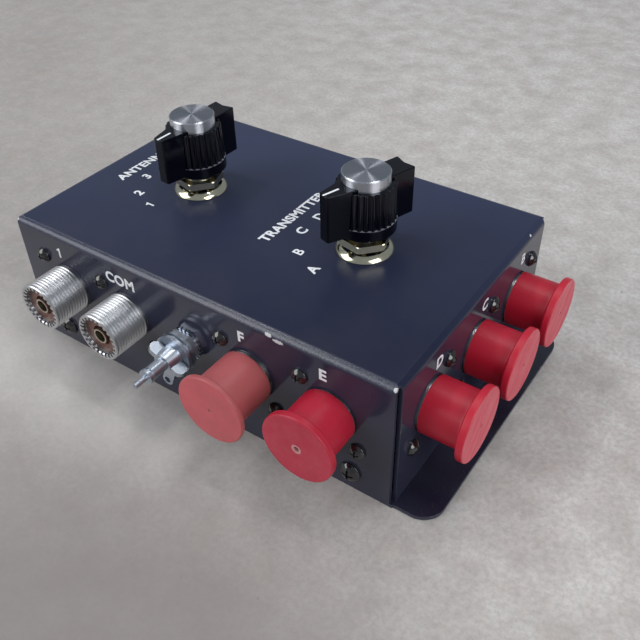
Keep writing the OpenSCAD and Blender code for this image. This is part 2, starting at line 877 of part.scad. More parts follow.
module shaft(turn) color([0.7, 0.7, 0.7])
    at_dial(turn) {
        translate([0, 0, shaft_end]) cylinder(r = shaft_r, h = shaft_top - shaft_end);
        translate([0, 0, wheel_at])
            linear_extrude(wheel_t) {
                difference() {
                    circle(r = wheel_r);
                    for (i = [0:11])
                        rotate(i * step_angle)
                            translate([wheel_notch_at, 0]) circle(r = wheel_notch_r);
                }
                rotate(first_angle)
                    translate([0, -stop_lug_half])
                        square([stop_lug_r, 2 * stop_lug_half]);
            }
    }

module rotor(turn) color([0.85, 0.83, 0.76])
    at_dial(turn)
        difference() {
            union() {
                translate([0, 0, wiper_at - eps])
                    cylinder(r = hub_r, h = deck_at + hub_above - wiper_at + eps);
                translate([0, 0, wiper_at - hub_lip_t]) cylinder(r = hub_lip_r, h = hub_lip_t);
            }
            translate([0, 0, wiper_at - hub_lip_t - eps])
                cylinder(r = shaft_r, h = case_h);
        }

module wiper(turn) color([0.8, 0.62, 0.3])
    at_dial(turn)
        translate([0, 0, wiper_at])
            linear_extrude(wiper_t)
                difference() {
                    union() {
                        circle(r = ring_out);
                        rotate(first_angle) {
                            translate([0, -wiper_half])
                                square([wiper_reach - wiper_half, 2 * wiper_half]);
                            translate([wiper_reach - wiper_half, 0]) circle(r = wiper_half);
                        }
                    }
                    circle(r = hub_r);
                }

module knob_left() knob(-dial_x, left_pointer);
module knob_disc_left() knob_disc(-dial_x, left_pointer);
module knob_insert_left() knob_insert(-dial_x, left_pointer);
module set_screw_left() set_screw(-dial_x, left_pointer);
module shaft_left() shaft(0);
module rotor_left() rotor(0);
module wiper_left() wiper(0);
module knob_right() knob(dial_x, right_pointer);
module knob_disc_right() knob_disc(dial_x, right_pointer);
module knob_insert_right() knob_insert(dial_x, right_pointer);
module set_screw_right() set_screw(dial_x, right_pointer);
module shaft_right() shaft(180);
module rotor_right() rotor(180);
module wiper_right() wiper(180);

module bushings() color([0.76, 0.68, 0.4]) {
    post_l = plate_at - wheel_at;
    at_dials()
        difference() {
            union() {
                translate([0, 0, plate_at]) cylinder(r = deck_r, h = plate_t);
                translate([0, 0, plate_at]) cylinder(r = bushing_r, h = case_h + bushing_h - plate_at);
                for (a = stop_angles)
                    rotate([0, 0, a])
                        translate([stop_post_at, 0, wheel_at])
                            cylinder(r = stop_post_r, h = post_l + eps);
                for (s = [-1, 1])
                    translate([spring_at + spring_t + spring_post_r, s * spring_post_at, wheel_at])
                        cylinder(r = spring_post_r, h = post_l + eps);
            }
            translate([0, 0, plate_at - eps])
                cylinder(r = shaft_r + shaft_fit, h = case_h);
            for (a = spacer_angles)
                rotate([0, 0, a])
                    translate([spacer_ring_r, 0, plate_at - eps])
                        cylinder(r = deck_screw_r, h = plate_t + 2 * eps);
        }
}

// A lock washer with teeth on its inside and a rounded outer rim.
module lock_washers() color([0.8, 0.66, 0.3]) {
    rim_r = lock_washer_t / 2;
    at_dials()
        translate([0, 0, case_h])
            difference() {
                rotate_extrude() {
                    translate([bushing_r, 0])
                        square([lock_washer_r - rim_r - bushing_r, lock_washer_t]);
                    translate([lock_washer_r - rim_r, rim_r]) circle(r = rim_r);
                }
                translate([0, 0, -eps])
                    linear_extrude(lock_washer_t + 2 * eps)
                        for (i = [0:washer_teeth - 1])
                            rotate(i * 360 / washer_teeth)
                                translate([bushing_r - eps, -tooth_gap / 2])
                                    square([lock_washer_r - washer_ring - bushing_r, tooth_gap]);
            }
}

module panel_nuts() color([0.8, 0.66, 0.3]) {
    at_dials()
        translate([0, 0, case_h + lock_washer_t])
            rotate([0, 0, nut_turn])
                difference() {
                    chamfered_hex(panel_nut_af, panel_nut_t);
                    translate([0, 0, -eps]) cylinder(r = bushing_r, h = panel_nut_t + 2 * eps);
                }
}

module detent_balls() color([0.8, 0.8, 0.8]) {
    at_dials() translate([ball_at, 0, wheel_at + wheel_t / 2]) sphere(r = ball_r);
}

module detent_springs() color([0.5, 0.5, 0.52]) {
    at_dials()
        translate([spring_at, -spring_half, wheel_at])
            cube([spring_t, 2 * spring_half, wheel_t]);
}

module stator_discs() color([0.5, 0.33, 0.2]) {
    at_dials()
        difference() {
            translate([0, 0, stator_at]) cylinder(r = deck_r, h = stator_t);
            translate([0, 0, stator_at - eps])
                cylinder(r = hub_r + hub_gap, h = stator_t + 2 * eps);
            for (a = spacer_angles)
                rotate([0, 0, a])
                    translate([spacer_ring_r, 0, stator_at - eps])
                        cylinder(r = deck_screw_r, h = stator_t + 2 * eps);
        }
}

module fixed_contacts() color([0.78, 0.74, 0.62]) {
    at_dials()
        translate([0, 0, pad_at]) {
            for (a = contact_angles)
                rotate([0, 0, a])
                    linear_extrude(pad_t) {
                        translate([contact_ring_r, 0]) circle(r = pad_r);
                        translate([contact_ring_r, -terminal_half])
                            square([terminal_r - contact_ring_r, 2 * terminal_half]);
                    }
            linear_extrude(pad_t)
                difference() {
                    union() {
                        circle(r = ring_out);
                        rotate(common_angle)
                            translate([0, -terminal_half])
                                square([terminal_r, 2 * terminal_half]);
                    }
                    circle(r = ring_in);
                }
        }
}

module deck_spacers() color([0.72, 0.72, 0.7]) {
    at_dials()
        for (a = spacer_angles)
            rotate([0, 0, a])
                translate([spacer_ring_r, 0, deck_at])
                    difference() {
                        cylinder(r = spacer_r, h = deck_gap);
                        translate([0, 0, -eps]) cylinder(r = deck_screw_r, h = deck_gap + 2 * eps);
                    }
}

module deck_screws() color([0.6, 0.6, 0.6]) {
    l = stator_t + deck_gap + plate_t;
    at_dials()
        for (a = spacer_angles)
            rotate([0, 0, a])
                translate([spacer_ring_r, 0, stator_at]) {
                    cylinder(r = deck_screw_r, h = l);
                    translate([0, 0, -deck_screw_head_h])
                        cylinder(r = deck_screw_head_r, h = deck_screw_head_h);
                }
}

// Where the solder cup of the socket at this place ends, in the case's frame.
function cup_end(p) =
    let (reach = ((p[0] % 180 == 0) ? case_w : case_l) / 2 - cup_reach)
    [p[1] * cos(p[0]) + reach * sin(p[0]), p[1] * sin(p[0]) - reach * cos(p[0]), socket_z];

function terminal_end(a) =
    [terminal_r * cos(a) - dial_x, terminal_r * sin(a), pad_at + pad_t / 2];

// The left dial's sockets, in the order of its contacts, then the common.
left_sockets = [[0, front_u1], [270, side_pitch], [270, 0], [270, -side_pitch],
                [180, front_u4], [180, front_u3], [0, front_u2]];
left_angles = concat(contact_angles, [common_angle]);

module bus_wires() color([0.75, 0.45, 0.25]) {
    r = wire_d / 2;
    solder_r = 1.2 * r;
    for (turn = [0, 180])
        rotate([0, 0, turn])
            for (i = [0:6]) {
                from = terminal_end(left_angles[i]);
                to = cup_end(left_sockets[i]);
                rod(from, to, r);
                translate(from) sphere(r = solder_r);
                translate(to) sphere(r = solder_r);
            }
}

top_cover();
bottom_cover();
case_screws();
socket(0);  // socket_1
socket(1);  // socket_com_front
socket(2);  // socket_f
socket(3);  // socket_e
socket(4);  // socket_d
socket(5);  // socket_c
socket(6);  // socket_b
socket(7);  // socket_a
socket(8);  // socket_com_back
socket(9);  // socket_6
socket(10);  // socket_5
socket(11);  // socket_4
socket(12);  // socket_3
socket(13);  // socket_2
socket_insulators();
socket_contacts();
socket_screws();
socket_nuts();
cap_f();
cap_e();
cap_d();
cap_c();
cap_b();
ground_studs();
ground_lock_washers();
ground_nuts();
ground_inner_washers();
ground_lugs();
ground_washer_front();
ground_washer_back();
wing_nut_front();
wing_nut_back();
knob_left();
knob_disc_left();
knob_insert_left();
set_screw_left();
shaft_left();
rotor_left();
wiper_left();
knob_right();
knob_disc_right();
knob_insert_right();
set_screw_right();
shaft_right();
rotor_right();
wiper_right();
bushings();
lock_washers();
panel_nuts();
detent_balls();
detent_springs();
stator_discs();
fixed_contacts();
deck_spacers();
deck_screws();
bus_wires();
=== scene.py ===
import math

import bmesh
import bpy
from mathutils import Matrix, Vector

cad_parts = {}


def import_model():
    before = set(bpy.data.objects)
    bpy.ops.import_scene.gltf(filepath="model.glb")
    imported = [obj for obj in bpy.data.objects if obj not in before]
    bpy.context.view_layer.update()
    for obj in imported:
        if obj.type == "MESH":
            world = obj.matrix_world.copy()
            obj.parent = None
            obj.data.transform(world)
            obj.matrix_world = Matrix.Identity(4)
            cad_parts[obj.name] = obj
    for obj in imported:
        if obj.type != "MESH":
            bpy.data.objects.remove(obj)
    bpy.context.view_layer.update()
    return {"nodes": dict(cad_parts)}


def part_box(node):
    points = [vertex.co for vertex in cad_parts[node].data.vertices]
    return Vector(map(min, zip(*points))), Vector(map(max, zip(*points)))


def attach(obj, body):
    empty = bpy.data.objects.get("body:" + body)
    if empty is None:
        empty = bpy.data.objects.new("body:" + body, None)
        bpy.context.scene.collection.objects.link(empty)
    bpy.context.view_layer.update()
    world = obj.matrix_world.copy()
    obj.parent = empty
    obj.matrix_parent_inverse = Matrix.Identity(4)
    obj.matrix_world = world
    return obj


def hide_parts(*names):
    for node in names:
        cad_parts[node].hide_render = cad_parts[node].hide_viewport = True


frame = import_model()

NODES = frame["nodes"]
MM = 0.001
UP = Vector((0, 0, 1))


# ---------------------------------------------------------------- places

SIDES = ("left", "right")


def middle(node):
    """The middle of a node's box."""
    low, high = (Vector(v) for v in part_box(node))
    return (low + high) / 2


CASE_CORNER = Vector(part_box("top_cover")[1])
CASE_TOP = CASE_CORNER.z
CASE_HALF_W = CASE_CORNER.y
# The case's ends, inside its flanges.
CASE_HALF_L = 70 * MM
DIAL_X = {side: middle("knob_disc_" + side).x for side in SIDES}
# Each pointer's direction at rest, in degrees from +X.
POINTERS = {"left": 267.5, "right": 251.5}
KNOB_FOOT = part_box("knob_left")[0][2]
COLLAR_H = 3.5 * MM
# Height of the ledge round each knob, on which a highlight is painted.
LEDGE_Z = KNOB_FOOT + COLLAR_H
# The closed end of the cap with a hole in it.
E_FACE = middle("cap_e")
E_FACE.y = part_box("cap_e")[0][1]


# ---------------------------------------------------------------- objects

def placed(name, data):
    """A new object of the scene."""
    made = bpy.data.objects.new(name, data)
    bpy.context.scene.collection.objects.link(made)
    return made


def mesh_of(name, bm):
    """A mesh made of a bmesh, which is freed."""
    mesh = bpy.data.meshes.new(name)
    bm.to_mesh(mesh)
    bm.free()
    return mesh


def solid_of(name, bm, material):
    """An object made of a closed bmesh, smooth but for its corners."""
    bmesh.ops.recalc_face_normals(bm, faces=bm.faces)
    for face in bm.faces:
        face.smooth = True
    mesh = mesh_of(name, bm)
    mesh.set_sharp_from_angle(angle=math.radians(30))
    mesh.materials.append(material)
    return placed(name, mesh)


def prism(bm, outline, low, high):
    """A prism on a flat outline, from one height to another."""
    face = bm.faces.new([bm.verts.new((x, y, low)) for x, y in outline])
    grown = bmesh.ops.extrude_face_region(bm, geom=[face])
    raised = [v for v in grown["geom"] if isinstance(v, bmesh.types.BMVert)]
    bmesh.ops.translate(bm, vec=(0, 0, high - low), verts=raised)


def join_rings(bm, rings):
    """Faces between neighbouring rings of as many vertices."""
    for low, high in zip(rings, rings[1:]):
        for i in range(len(low)):
            j = (i + 1) % len(low)
            bm.faces.new((low[i], low[j], high[j], high[i]))


def turned(x, y, z):
    """The turn that lays the axes along three directions."""
    return Matrix((x, y, z)).transposed().to_4x4()


# ---------------------------------------------------------------- shader nodes

class Paint:
    """A node material on one Principled shader. Lengths are in metres, noise scales per metre."""

    def __init__(self, name):
        self.mat = bpy.data.materials.new(name)
        self.mat.use_nodes = True
        self.tree = self.mat.node_tree
        self.bsdf = self.tree.nodes["Principled BSDF"]
        self.coord = self.node("ShaderNodeTexCoord").outputs["Object"]

    def node(self, kind, **props):
        made = self.tree.nodes.new(kind)
        for key, value in props.items():
            setattr(made, key, value)
        return made

    def link(self, value, socket):
        """Links an output to a socket, or sets a plain value on it."""
        if isinstance(value, bpy.types.NodeSocket):
            self.tree.links.new(value, socket)
        elif isinstance(value, (tuple, list)) and len(value) == 3 and socket.type == "RGBA":
            socket.default_value = (*value, 1.0)
        else:
            socket.default_value = value

    def set(self, **values):
        """Sets the shader's inputs, with _ for the spaces in their names."""
        for key, value in values.items():
            self.link(value, self.bsdf.inputs[key.replace("_", " ")])

    def math(self, op, a, b=0.0, clamp=False):
        m = self.node("ShaderNodeMath", operation=op, use_clamp=clamp)
        self.link(a, m.inputs[0])
        self.link(b, m.inputs[1])
        return m.outputs[0]

    def times(self, a, b):
        return self.math("MULTIPLY", a, b)

    def plus(self, a, b, clamp=False):
        return self.math("ADD", a, b, clamp)

    def vector_math(self, op, a, b=(0, 0, 0)):
        m = self.node("ShaderNodeVectorMath", operation=op)
        self.link(a, m.inputs[0])
        self.link(b, m.inputs[1])
        return m.outputs["Value" if op in ("DOT_PRODUCT", "LENGTH") else "Vector"]

    def part(self, vector, axis):
        s = self.node("ShaderNodeSeparateXYZ")
        self.link(vector, s.inputs[0])
        return s.outputs[axis]

    def span(self, value, lo, hi, to_lo=0.0, to_hi=1.0, smooth=False):
        """to_lo where value is lo, to_hi where it is hi, and between them in between."""
        m = self.node("ShaderNodeMapRange", clamp=True)
        m.interpolation_type = "SMOOTHSTEP" if smooth else "LINEAR"
        self.link(value, m.inputs["Value"])
        for key, v in (("From Min", lo), ("From Max", hi), ("To Min", to_lo), ("To Max", to_hi)):
            m.inputs[key].default_value = v
        return m.outputs["Result"]

    def mix(self, fac, a, b):
        """The colour a where fac is 0, and b where it is 1."""
        m = self.node("ShaderNodeMix", data_type="RGBA")
        self.link(fac, m.inputs["Factor"])
        self.link(a, m.inputs[6])
        self.link(b, m.inputs[7])
        return m.outputs[2]

    def over(self, base, *layers):
        """A base colour under layers of mask and colour, the last on top."""
        for mask, color in layers:
            base = self.mix(mask, base, color)
        return base

    def blend(self, fac, a, b):
        """The number a where fac is 0, and b where it is 1."""
        m = self.node("ShaderNodeMix", data_type="FLOAT")
        self.link(fac, m.inputs["Factor"])
        self.link(a, m.inputs[2])
        self.link(b, m.inputs[3])
        return m.outputs[0]

    def moved(self, location=(0, 0, 0), rotation=(0, 0, 0), scale=(1, 1, 1), kind="POINT"):
        """The object's coordinates, moved."""
        m = self.node("ShaderNodeMapping", vector_type=kind)
        for key, value in (("Location", location), ("Rotation", rotation), ("Scale", scale)):
            m.inputs[key].default_value = value
        self.link(self.coord, m.inputs["Vector"])
        return m.outputs["Vector"]

    def noise(self, scale, detail=4.0, rough=0.55, offset=None):
        n = self.node("ShaderNodeTexNoise")
        self.link(self.moved(offset) if offset else self.coord, n.inputs["Vector"])
        n.inputs["Scale"].default_value = scale
        n.inputs["Detail"].default_value = detail
        n.inputs["Roughness"].default_value = rough
        return n.outputs["Fac"]

    def streaks(self, rotation, stretch, detail=3.0):
        """Noise drawn out along one direction; rotation lays it there."""
        n = self.node("ShaderNodeTexNoise")
        self.link(self.vector_math("MULTIPLY", self.moved(rotation=rotation), stretch), n.inputs["Vector"])
        n.inputs["Scale"].default_value = 1.0
        n.inputs["Detail"].default_value = detail
        return n.outputs["Fac"]

    def along(self, direction):
        """How far a point lies in a direction, times the direction's length."""
        return self.vector_math("DOT_PRODUCT", self.coord, direction)

    def within(self, ovals):
        """Distance to the nearest of some ovals' centres, as a share of its half sizes."""
        best = None
        for centre, half in ovals:
            far = self.vector_math("LENGTH", self.moved(centre, scale=half, kind="TEXTURE"))
            best = far if best is None else self.math("MINIMUM", best, far)
        return best

    def facing(self, axis):
        """One part of the normal."""
        return self.part(self.node("ShaderNodeNewGeometry").outputs["Normal"], axis)

    def softened(self, radius, samples=6):
        """The normal with its edges rounded off."""
        b = self.node("ShaderNodeBevel", samples=samples)
        b.inputs["Radius"].default_value = radius
        return b.outputs["Normal"]

    def edge(self, radius):
        """1 on convex and concave edges, 0 on flat faces."""
        normal = self.node("ShaderNodeNewGeometry").outputs["Normal"]
        alike = self.vector_math("DOT_PRODUCT", self.softened(radius, samples=4), normal)
        return self.span(self.math("SUBTRACT", 1.0, alike), 0.02, 0.25)

    def bump(self, height, distance, strength=1.0, normal=None):
        b = self.node("ShaderNodeBump")
        self.link(height, b.inputs["Height"])
        b.inputs["Distance"].default_value = distance
        b.inputs["Strength"].default_value = strength
        if normal is not None:
            self.link(normal, b.inputs["Normal"])
        return b.outputs["Normal"]


# ---------------------------------------------------------------- case paint

TOP_NAVY = (0.0075, 0.0100, 0.0330)
TOP_SHEEN_NAVY = (0.0285, 0.0380, 0.0850)
SIDE_GREY = (0.025, 0.027, 0.052)
FLANGE_BLACK = (0.012, 0.013, 0.029)
CASE_HAZE = (0.030, 0.032, 0.045)
CASE_DUST = (0.12, 0.12, 0.135)
FLANGE_SPECKS = (0.20, 0.20, 0.22)
SCRATCHED = (0.20, 0.21, 0.24)
# Painted highlight on the front fold.
FOLD_HIGHLIGHT_GREY = (0.150, 0.156, 0.180)
BARE_METAL = (0.58, 0.58, 0.60)
# The direction across the top in which its navy gets lighter and bluer: a painted sheen.
SHEEN_TOWARDS = (-0.45, 0.9, 0)
# Heights between which the flanges' paint gives way to the top's.
FLANGES_END = 20 * MM
TOP_STARTS = 30 * MM
# Bare spots: centre and half sizes.
CHIPS = [((0.0305, -0.0453, 0.0440), (0.0011, 0.002, 0.00055)),
         ((0.0338, -0.0454, 0.0432), (0.0019, 0.002, 0.0006)),
         ((-0.0690, -0.0450, 0.0445), (0.0005, 0.0006, 0.0004)),
         ((0.0690, -0.0450, 0.0446), (0.0009, 0.0009, 0.0007)),
         ((0.0695, 0.0335, 0.0447), (0.0005, 0.0005, 0.0005)),
         ((0.0697, 0.0452, 0.0440), (0.0010, 0.0010, 0.0008))]


def case_regions(p):
    """Masks of the top, of the flanges and of the folds round the top."""
    up = p.facing("Z")
    high = p.span(p.part(p.coord, "Z"), FLANGES_END, TOP_STARTS)
    top = p.times(p.span(up, 0.08, 0.5, smooth=True), high)
    flange = p.times(p.span(up, 0.5, 0.9), p.math("SUBTRACT", 1.0, high))
    fold = p.times(p.times(p.span(up, 0.985, 0.93), p.span(up, 0.25, 0.5)), high)
    return top, flange, fold


def case_bare(p):
    """A mask of bare metal: ragged chips, and specks along the edges."""
    specks = p.times(p.edge(0.4 * MM), p.span(p.noise(650, 3, 0.6), 0.70, 0.74))
    ragged = p.span(p.noise(1700, 4), 0.3, 0.7, -0.15, 0.25)
    chips = p.span(p.plus(p.within(CHIPS), ragged), 0.9, 1.05, 1.0, 0.0)
    return p.math("MAXIMUM", specks, chips, clamp=True)


def case_fold_highlight(p, fold, grain):
    """A mask of a painted highlight along the front fold, speckled and patchy, more of it towards the
    right.
    """
    front = p.times(fold, p.span(p.facing("Y"), -0.15, -0.5))
    patchy = p.times(front, p.span(grain, 0.35, 0.6, 0.25, 0.9))
    return p.times(patchy, p.span(p.part(p.coord, "X"), -50 * MM, 50 * MM, 0.25, 0.8))


def case_paint():
    """Satin navy on the top and its folds, with a painted sheen across the top and a painted highlight on
    the front fold, glossy grey on the sides, glossy black on the flanges.
    """
    p = Paint("case_paint")
    top, flange, fold = case_regions(p)
    cloud = p.noise(38, 5, 0.6)
    grain = p.noise(2600, 3, 0.6)
    peel = p.noise(420, 2, 0.5)
    dust_and_highlight = p.noise(900, 6, 0.75)
    specks = p.span(p.noise(3200, 2, 0.5), 0.70, 0.76)
    hairs = p.span(p.streaks((0, 0, 0.5), (2600, 90, 90)), 0.69, 0.74)
    scratches = p.times(hairs, p.span(p.noise(60, 2, offset=(3, 1, 0)), 0.55, 0.68))
    bare = case_bare(p)
    # Painted sheen: the top's navy is lighter and bluer towards the back-left.
    navy_with_sheen = p.mix(p.span(p.along(SHEEN_TOWARDS), -60 * MM, 40 * MM), TOP_NAVY, TOP_SHEEN_NAVY)
    base = p.over(p.mix(top, SIDE_GREY, navy_with_sheen),
                  (flange, FLANGE_BLACK),
                  (p.span(cloud, 0.3, 0.75, 0.0, 0.3), CASE_HAZE),
                  (p.span(dust_and_highlight, 0.66, 0.80, 0.0, 0.22), CASE_DUST),
                  (p.times(specks, flange), FLANGE_SPECKS),
                  (p.times(scratches, 0.3), SCRATCHED),
                  (case_fold_highlight(p, fold, grain), FOLD_HIGHLIGHT_GREY),
                  (bare, BARE_METAL))
    rough = p.blend(top, p.span(cloud, 0.3, 0.7, 0.09, 0.15), p.span(cloud, 0.3, 0.7, 0.31, 0.39))
    rough = p.blend(fold, rough, 0.15)
    rough = p.blend(flange, rough, 0.22)
    rough = p.blend(p.span(dust_and_highlight, 0.6, 0.8, 0.0, 0.3), rough, 0.6)
    height = p.plus(p.times(grain, p.blend(fold, p.span(top, 0, 1, 0.08, 1.0), 2.6)),
                    p.times(peel, p.span(top, 0, 1, 0.35, 1.0)))
    height = p.math("SUBTRACT", height, p.times(bare, 1.5))
    p.set(Base_Color=base, Roughness=rough, Specular_IOR_Level=p.span(top, 0.0, 1.0, 0.5, 0.36),
          Normal=p.bump(height, 0.03 * MM, 0.55, p.softened(0.3 * MM)))
    return p.mat


# ---------------------------------------------------------------- other materials

LINT = (0.14, 0.14, 0.15)
# Pale colour of the painted highlight on the knobs' ledge.
LEDGE_HIGHLIGHT = (0.42, 0.44, 0.50)
HOLE_HALF = (1.6 * MM, 4 * MM, 1.6 * MM)


def metal(name, color, tint, rough=0.3, dirt=(0.1, 0.09, 0.08), dirt_amount=0.5, polish=0.4 * MM):
    """Bare or plated metal, clouded and a little dirty. Where polish isn't 0, it has a fine
    grain, and edges of that radius are bright."""
    p = Paint(name)
    cloud = p.noise(220, 5, 0.6)
    fine = p.noise(1400, 5, 0.65)
    base = p.over(p.mix(p.span(cloud, 0.32, 0.68), color, tint),
                  (p.span(fine, 0.58, 0.78, 0.0, dirt_amount), dirt))
    if polish:
        bright = tuple(min(1.0, c * 1.35) for c in color)
        base = p.mix(p.times(p.edge(polish), 0.35), base, bright)
        p.set(Normal=p.bump(fine, 0.004 * MM, 0.6))
    p.set(Base_Color=base, Metallic=1.0,
          Roughness=p.plus(p.span(cloud, 0.3, 0.7, rough - 0.04, rough + 0.05),
                           p.span(fine, 0.5, 0.8, 0.0, 0.08)))
    return p.mat


def blackened(name):
    """Black oxide on steel, worn to grey at the edges."""
    p = Paint(name)
    fine = p.noise(1800, 5, 0.65)
    base = p.over(p.mix(p.span(fine, 0.4, 0.7), (0.006, 0.006, 0.007), (0.016, 0.016, 0.018)),
                  (p.times(p.edge(0.3 * MM), 0.25), (0.25, 0.25, 0.26)))
    p.set(Base_Color=base, Roughness=p.span(fine, 0.3, 0.8, 0.07, 0.18), Specular_IOR_Level=0.9,
          Normal=p.bump(fine, 0.006 * MM, 0.4, p.softened(0.15 * MM)))
    return p.mat


def moulded(name, color, other, rough=0.4, grain=900, depth=0.01 * MM):
    """A moulded plastic or matt paint in two near colours, with its grain's scale and depth."""
    p = Paint(name)
    cloud = p.noise(150, 4, 0.6)
    fine = p.noise(grain, 5, 0.6)
    base = p.over(p.mix(p.span(cloud, 0.3, 0.7), color, other),
                  (p.span(fine, 0.62, 0.8, 0.0, 0.25), tuple(c * 0.5 + 0.08 for c in color)))
    p.set(Base_Color=base, Roughness=p.span(fine, 0.3, 0.75, rough - 0.07, rough + 0.1),
          Normal=p.bump(fine, depth, 0.5))
    return p.mat


def vinyl(name, side, end, chalk_and_rim_highlight, face, smear, hole=None):
    """Soft vinyl, paler and scuffed on the closed end, with a painted highlight along its edges. face is
    the axis of the end, X towards
    +X or Y towards -Y, and hole the middle of a hole in it, with a whitened rim."""
    p = Paint(name)
    sign = 1 if face == "X" else -1
    ended = p.span(p.facing(face), sign * 0.8, sign * 0.98, smooth=True)
    cloud = p.noise(120, 5, 0.6)
    fine = p.noise(1500, 6, 0.7)
    scuff = p.noise(420, 7, 0.75)
    drawn = p.streaks((math.radians(38), 0, 0), (100, 700, 90), 4) if face == "X" else scuff
    # The pale edges are a painted highlight along the rims; the streaks on the end are scuffs.
    scuffs_and_rim_highlight = p.plus(p.times(ended, p.span(drawn, 0.35, 0.72, 0.0, smear)),
                 p.times(p.edge(0.4 * MM), 0.55), clamp=True)
    base = p.over(p.mix(ended, side, end),
                  (p.span(cloud, 0.3, 0.7, 0.0, 0.5), tuple(c * 0.85 for c in side)),
                  (scuffs_and_rim_highlight, chalk_and_rim_highlight),
                  (p.span(fine, 0.66, 0.8, 0.0, 0.45), tuple(c * 0.5 for c in side)),
                  (p.times(ended, p.span(scuff, 0.66, 0.78)), chalk_and_rim_highlight))
    if hole is not None:
        rim = p.span(p.within([(hole, HOLE_HALF)]), 0.85, 1.0, 1.0, 0.0)
        base = p.mix(p.times(rim, 0.6), base, (0.66, 0.42, 0.40))
    rough = p.plus(p.span(scuff, 0.3, 0.7, 0.34, 0.44), p.times(ended, 0.1))
    height = p.plus(p.times(fine, 0.5), scuff)
    p.set(Base_Color=base, Roughness=rough, Specular_IOR_Level=0.45,
          Subsurface_Weight=0.1, Subsurface_Scale=1.5 * MM, Subsurface_Radius=(1.0, 0.25, 0.2),
          Normal=p.bump(height, 0.06 * MM, 0.4, p.softened(0.3 * MM)))
    return p.mat


def knob_plastic():
    """Glossy black plastic with lint on it, and a painted highlight on the ledge."""
    p = Paint("knob_plastic")
    fine = p.noise(1600, 5, 0.7)
    cloud = p.noise(240, 4)
    lint = p.span(p.noise(2400, 3, 0.6), 0.72, 0.78)
    # Painted highlight: upward faces just above the ledge are made pale.
    low = p.span(p.part(p.coord, "Z"), LEDGE_Z + 0.2 * MM, LEDGE_Z + 0.4 * MM, 1.0, 0.0)
    dust_and_highlight = p.times(p.span(p.facing("Z"), 0.7, 0.95), low)
    base = p.mix(p.span(fine, 0.6, 0.8, 0.0, 0.4), (0.0012, 0.0012, 0.0035), (0.006, 0.006, 0.010))
    base = p.over(base, (p.times(lint, 0.25), LINT), (p.times(dust_and_highlight, 0.6), LEDGE_HIGHLIGHT))
    p.set(Base_Color=base, Roughness=p.span(cloud, 0.3, 0.7, 0.09, 0.16), Specular_IOR_Level=0.32,
          Specular_Tint=(0.80, 0.86, 1.0),
          Normal=p.bump(fine, 0.005 * MM, 0.4, p.softened(0.15 * MM)))
    return p.mat


def spun(name, x):
    """Aluminium turned on a lathe about an upright axis at x, with painted shade making its top darker
    than its wall.
    """
    p = Paint(name)
    centred = p.moved((-x, 0, 0))
    flat = p.node("ShaderNodeCombineXYZ")
    p.link(p.part(centred, "X"), flat.inputs["X"])
    p.link(p.part(centred, "Y"), flat.inputs["Y"])
    rings = p.node("ShaderNodeTexNoise", noise_dimensions="1D")
    p.link(p.vector_math("LENGTH", flat.outputs[0]), rings.inputs["W"])
    rings.inputs["Scale"].default_value = 9000
    rings.inputs["Detail"].default_value = 3
    cuts = rings.outputs["Fac"]
    haze = p.noise(300, 4)
    # The upward faces get painted shade, darker than the wall.
    base = p.over(p.mix(p.span(cuts, 0.3, 0.7), (0.60, 0.63, 0.70), (0.80, 0.82, 0.88)),
                  (p.span(p.facing("Z"), 0.6, 0.95, 0.0, 0.62), (0.20, 0.21, 0.25)))
    tangent = p.node("ShaderNodeTangent", direction_type="RADIAL", axis="Z").outputs[0]
    p.set(Base_Color=base, Metallic=1.0, Roughness=p.span(haze, 0.3, 0.7, 0.26, 0.31),
          Anisotropic=0.98, Anisotropic_Rotation=0.25, Tangent=tangent,
          Normal=p.bump(cuts, 0.003 * MM, 0.5))
    return p.mat


def print_white():
    """White printing, worn to grey in places."""
    p = Paint("print_white")
    wear = p.noise(1500, 5, 0.7)
    base = p.mix(p.span(wear, 0.55, 0.75, 0.0, 0.45), (0.82, 0.84, 0.88), (0.34, 0.35, 0.39))
    p.set(Base_Color=base, Roughness=p.span(wear, 0.3, 0.8, 0.45, 0.65))
    return p.mat


RED = (0.50, 0.011, 0.034)
CHALK_AND_RIM_HIGHLIGHT = (0.62, 0.26, 0.26)

NICKEL = metal("nickel", (0.56, 0.57, 0.59), (0.50, 0.51, 0.53), 0.31, dirt=(0.20, 0.18, 0.16),
               dirt_amount=0.12, polish=0)
STEEL = metal("zinc_steel", (0.49, 0.54, 0.61), (0.41, 0.45, 0.52), 0.33, dirt=(0.25, 0.26, 0.28))
GOLD = metal("yellow_zinc", (0.74, 0.68, 0.50), (0.56, 0.57, 0.46), 0.15, dirt_amount=0.3)
BRASS = metal("brass", (0.70, 0.50, 0.22), (0.60, 0.42, 0.18))
CONTACT = metal("contact_plate", (0.60, 0.55, 0.45), (0.42, 0.36, 0.28))
COPPER = metal("copper", (0.72, 0.38, 0.22), (0.55, 0.28, 0.16), 0.32)
BLACK = blackened("black_oxide")
CASE = case_paint()
TRAY = moulded("tray_paint", (0.014, 0.015, 0.020), (0.024, 0.025, 0.032), grain=1400, depth=0.02 * MM)
PHENOLIC = moulded("phenolic_brown", (0.17, 0.075, 0.055), (0.12, 0.05, 0.035), 0.38)
BOARD = moulded("phenolic_board", (0.34, 0.19, 0.08), (0.28, 0.15, 0.06), 0.45)
IVORY = moulded("rotor_plastic", (0.62, 0.58, 0.48), (0.55, 0.51, 0.42), 0.42)
KNOB = knob_plastic()
CAP_FRONT = vinyl("vinyl_red_front", (0.40, 0.009, 0.030), (0.50, 0.030, 0.066), CHALK_AND_RIM_HIGHLIGHT, "Y", 0.15, E_FACE)
CAP_SIDE = vinyl("vinyl_red_side", RED, (0.62, 0.058, 0.098), CHALK_AND_RIM_HIGHLIGHT, "X", 0.5)
